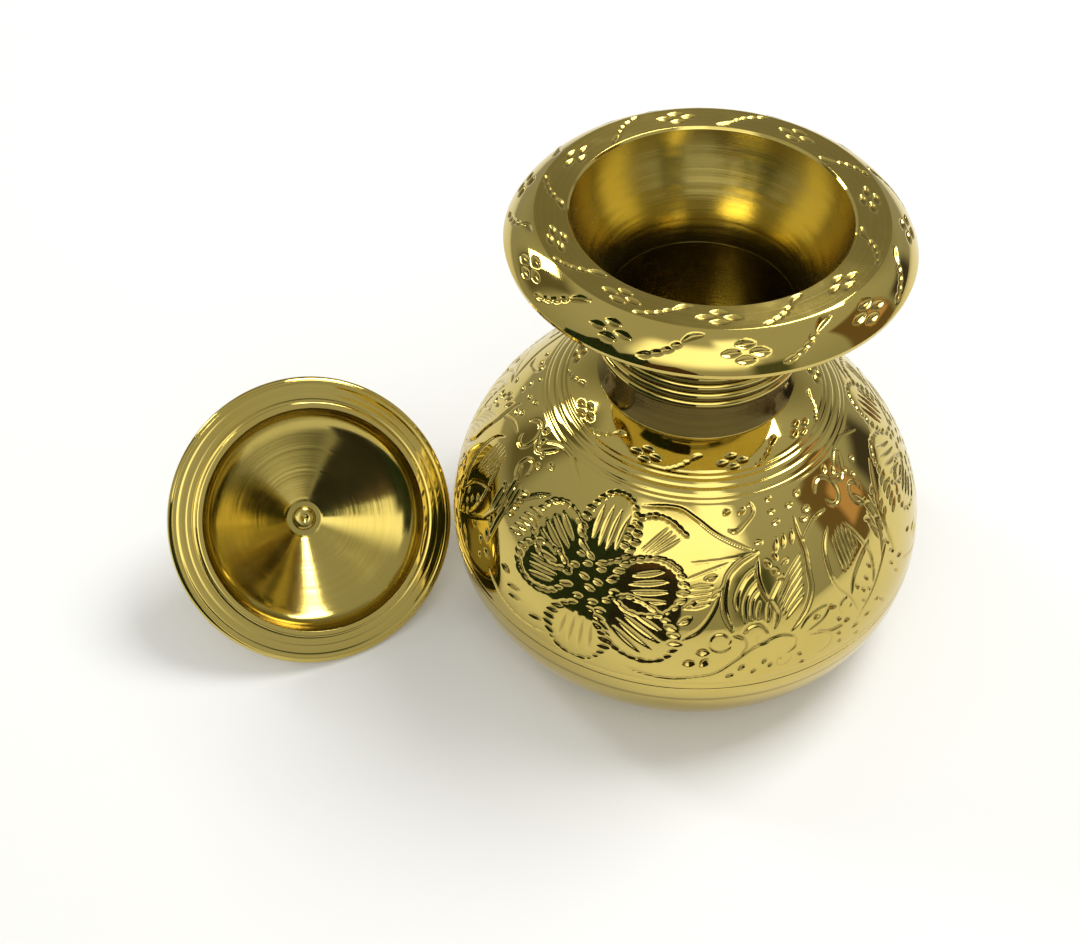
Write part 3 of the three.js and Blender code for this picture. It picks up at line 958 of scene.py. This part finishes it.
# %% Engrave the flat ring and the sloping band
def flower_row(band, angles, wide, rows, petal_size, spread, size):
    """Flowers at the angles, each with a sprig half way to the next one."""
    strip = Strip(mouth, band)
    strip.down = strip.down.max() - strip.down
    for here, following in zip(angles, angles[1:] + (angles[0] + 360,)):
        blossom(strip, (here, rows[0]), petal_size, spread, wide)
        sprig(strip, ((here + following) / 2, rows[1]), size, wide)
    strip.press()


flower_row("ring", (-156, -118, -84, -36, 14, 60, 107, 154), degrees_for_mm(32.5), (3.3, 3.4),
           (3.9, 1.6), (2.6, 1.35), 0.95)
flower_row("bevel", (-190, -150, -115, -77, -37, 4, 46, 88, 129), degrees_for_mm(39), (4.4, 4.2),
           (4.0, 1.8), (2.7, 1.5), 1.05)
mouth.spin("mouth_rim_brass", "pot", "mouth_rim")

# %% [markdown]
# ## The lid's place
#
# The lid lies hollow side up beside the pot, leaning on its rim and on the tip of its knob. It is
# modelled upright in its own frame, with its seat at zero, and then laid down by one matrix: turned
# over by the lean, swung to its heading, and set down a hair from the belly. The lean is the slope
# of the line that touches both the rim's bead and the knob's ball. The last turn is about the lid's
# own axis, and moves only the flowers on its top. With this turn the excess stays inside the limit.

# %% Work out how the lid lies
lid_radius = 34.2
bead = 1.0
rim_rise = 2.2
lid_height = 36.3
tip_ball = 1.8
lid_heading = 36.0
lid_bearing = 192.4
beside_gap = 0.5
square_up = 8.0
bead_out, bead_up = lid_radius - bead, rim_rise - bead
knob_rise = lid_height - tip_ball - bead_up
lean = (math.atan2(knob_rise, bead_out)
        + math.asin((tip_ball - bead) / math.hypot(knob_rise, bead_out)))
seat_height = bead_out * math.sin(lean) + bead_up * math.cos(lean) + bead
facing = Vector((math.sin(math.radians(lid_heading)), -math.cos(math.radians(lid_heading))))
outward = Vector((math.cos(math.radians(lid_bearing)), math.sin(math.radians(lid_bearing))))
half_width = lid_radius * math.sqrt(1 - (facing.dot(outward) * math.sin(lean)) ** 2)
distance = belly_radius + beside_gap + half_width
lid_place = (Matrix.Translation(Vector((*(outward * distance), seat_height)) * MM)
             @ Matrix.Rotation(math.radians(90 + lid_heading), 4, "Z")
             @ Matrix.Rotation(math.pi - lean, 4, "Y")
             @ Matrix.Rotation(math.radians(square_up), 4, "Z"))
print("lid leans", round(math.degrees(lean), 2), "degrees, centre at", lid_place.translation[:])

# %% [markdown]
# ## Lid plate
#
# Its underside is what shows: a turned cone with fine rings, a cove, a bright collar that locates
# in the mouth, and a flat seat with shallow grooves. The top can't be seen while the lid lies, so it
# is a guess: domed, with the same small flowers as the rim.

# %% Turn the lid
flange_depth = 1.8
flange_wall = 1.4
lid_wall = 1.6
cove_reach = 6.0
cone_foot_rise = 5.9
dome_rise = 12.2
rivet_land = 1.3
boss_ledge = 0.8
roof_toe = 2.0
tenon_radius = 2.2
rivet_radius = tenon_radius + 0.7
knob_foot_radius = 6.6
mouth_clearance = 0.7
flange_radius = mouth_radius - mouth_clearance
flange_bore = flange_radius - flange_wall
cone_foot = flange_bore - cove_reach
boss_radius = knob_foot_radius + boss_ledge
tenon_hole = tenon_radius + joint_gap
land_height = dome_rise + lid_wall
crown_radius = rivet_radius + rivet_land
cone_slope = (dome_rise - cone_foot_rise) / (cone_foot - crown_radius)
cove_lead = 0.62 * cove_reach
cove = curve((flange_bore, -flange_depth), (flange_bore, 0.54 * cone_foot_rise),
             (cone_foot + cove_lead, cone_foot_rise - cone_slope * cove_lead),
             (cone_foot, cone_foot_rise))
roof_foot = cone_foot_rise + lid_wall
roof_slope = (land_height - roof_foot) / (cone_foot - boss_radius)
roof_lead = 0.5 * cove_reach
toe = flange_radius + roof_toe
roof = curve((toe, rim_rise), (toe - roof_lead, rim_rise),
             (cone_foot + roof_lead, roof_foot - roof_slope * roof_lead), (cone_foot, roof_foot))
plate = Turning(around=720)
plate.add("crown", line((tenon_hole, dome_rise), (crown_radius, dome_rise)), 0.4, DISH, 0.9)
plate.add("cone", line((crown_radius, dome_rise), (cone_foot, cone_foot_rise)), 0.35, DISH, 0.1)
plate.add("cove", cove[::-1], 0.35, DISH, recess_shade=0.4)
plate.add("lip", line((flange_bore, -flange_depth), (flange_radius, -flange_depth),
                      (flange_radius, 0)), 0.3, MIRROR)
plate.add("seat", line((flange_radius, 0), (bead_out, 0)), 0.3, RINGED)
plate.add("bead", np.concatenate([[(bead_out, 0)], arc(bead_out, bead_up, bead, -85, 90)]),
          0.25, MIRROR)
plate.add("rim", line((bead_out, rim_rise), (toe, rim_rise)), 0.35, RINGED)
plate.add("roof", roof, 0.5, MIRROR)
plate.add("dome", line((cone_foot, roof_foot), (boss_radius, land_height)), 0.35, MIRROR)
plate.add("land", line((boss_radius, land_height), (tenon_hole, land_height)), 0.6, RINGED)
plate.add("hole", line((tenon_hole, land_height), (tenon_hole, dome_rise)), 0.5, FUNNEL, recess_shade=1.0)
plate.ready()
print("lid outline has", len(plate.rows), "rows")

# %% Cut the lid's grooves and flowers
cone_strip = Strip(plate, "cone")
for place, depth in ((0.5, 0.03), (6.9, 0.014), (7.9, 0.020), (9.0, 0.010), (13.8, 0.008)):
    cone_strip.ring(place, 0.8, depth)
cone_strip.press()
seat_strip = Strip(plate, "seat")
for place, width, depth in ((0.4, 0.5, 0.15), (2.3, 0.5, 0.05), (4.3, 0.6, 0.10)):
    seat_strip.ring(place, width, depth)
seat_strip.press()
dome_strip = Strip(plate, "dome")
dome_wide = degrees_for_mm(16)
for place in (1.0, 12.2, 13.4):
    dome_strip.ring(place, 0.6, 0.08)
for step in range(6):
    blossom(dome_strip, (60 * step, 6.2), (2.9, 1.4), (2.6, 1.3), dome_wide)
    sprig(dome_strip, (60 * step + 30, 6.4), 0.85, dome_wide)
dome_strip.press()
plate.spin("lid_plate_brass", "lid", "lid_plate", lid_place)

# %% [markdown]
# ## Lid knob
#
# A solid turned finial, pushed through the lid's centre and peened over inside, where its end shows
# as a small rivet. Only that end is known. Its height follows from the way the lid leans, and its
# shape is a guess from others of the kind: foot, waist, ring, bulb, ring and a ball on top.

# %% Turn the knob
foot_bead = 0.7
knob_waist = 2.7
stem_height = 4.2
knob_bead = 0.8
knob_bulb = 6.8
bulb_height = 9.9
finial_height = lid_height - (land_height + joint_gap + stem_height + bulb_height)
rivet_height = 0.9
knob_foot = land_height + joint_gap
stem_top = knob_foot + stem_height
bulb_top = stem_top + bulb_height
bulb_neck = knob_waist + 0.4
rivet_face = dome_rise - joint_gap
rivet_top = rivet_face - rivet_height
knob = Turning(around=240)
knob.add("dimple", curve((0.05, rivet_top + 0.45), (0.5, rivet_top + 0.45), (0.7, rivet_top),
                         (1.2, rivet_top)), 0.15, MIRROR)
knob.add("rivet", curve((1.2, rivet_top), (2.2, rivet_top), (rivet_radius, rivet_face - 0.5),
                        (rivet_radius, rivet_face)), 0.2, FUNNEL, 0.9)
knob.add("tenon", line((rivet_radius, rivet_face), (tenon_radius, rivet_face),
                       (tenon_radius, knob_foot), (knob_foot_radius - foot_bead, knob_foot)),
         0.5, FUNNEL)
knob.add("foot", arc(knob_foot_radius - foot_bead, knob_foot + foot_bead, foot_bead, -90, 90),
         0.2, MIRROR)
knob.add("waist", curve((0.667 * knob_foot_radius, knob_foot + 0.38 * stem_height),
                        (knob_waist, knob_foot + 0.52 * stem_height),
                        (knob_waist, knob_foot + 0.76 * stem_height), (knob_waist, stem_top)),
         0.25, MIRROR)
knob.add("low_ring", arc(bulb_neck, stem_top + knob_bead, knob_bead, -80, 80), 0.2, MIRROR)
knob.add("bulb", curve((knob_waist, stem_top + 2.25 * knob_bead),
                       (knob_bulb * 1.3, stem_top + 0.24 * bulb_height),
                       (knob_bulb * 1.2, stem_top + 0.74 * bulb_height), (bulb_neck, bulb_top)),
         0.3, MIRROR)
knob.add("top_ring", arc(knob_waist - 0.3, bulb_top + 0.32 * finial_height, knob_bead, -80, 80),
         0.2, MIRROR)
knob.add("tip", arc(0, lid_height - tip_ball, tip_ball, -35, 89), 0.2, MIRROR)
knob.ready(is_ring=False)
knob.spin("lid_knob_brass", "lid", "lid_knob", lid_place)
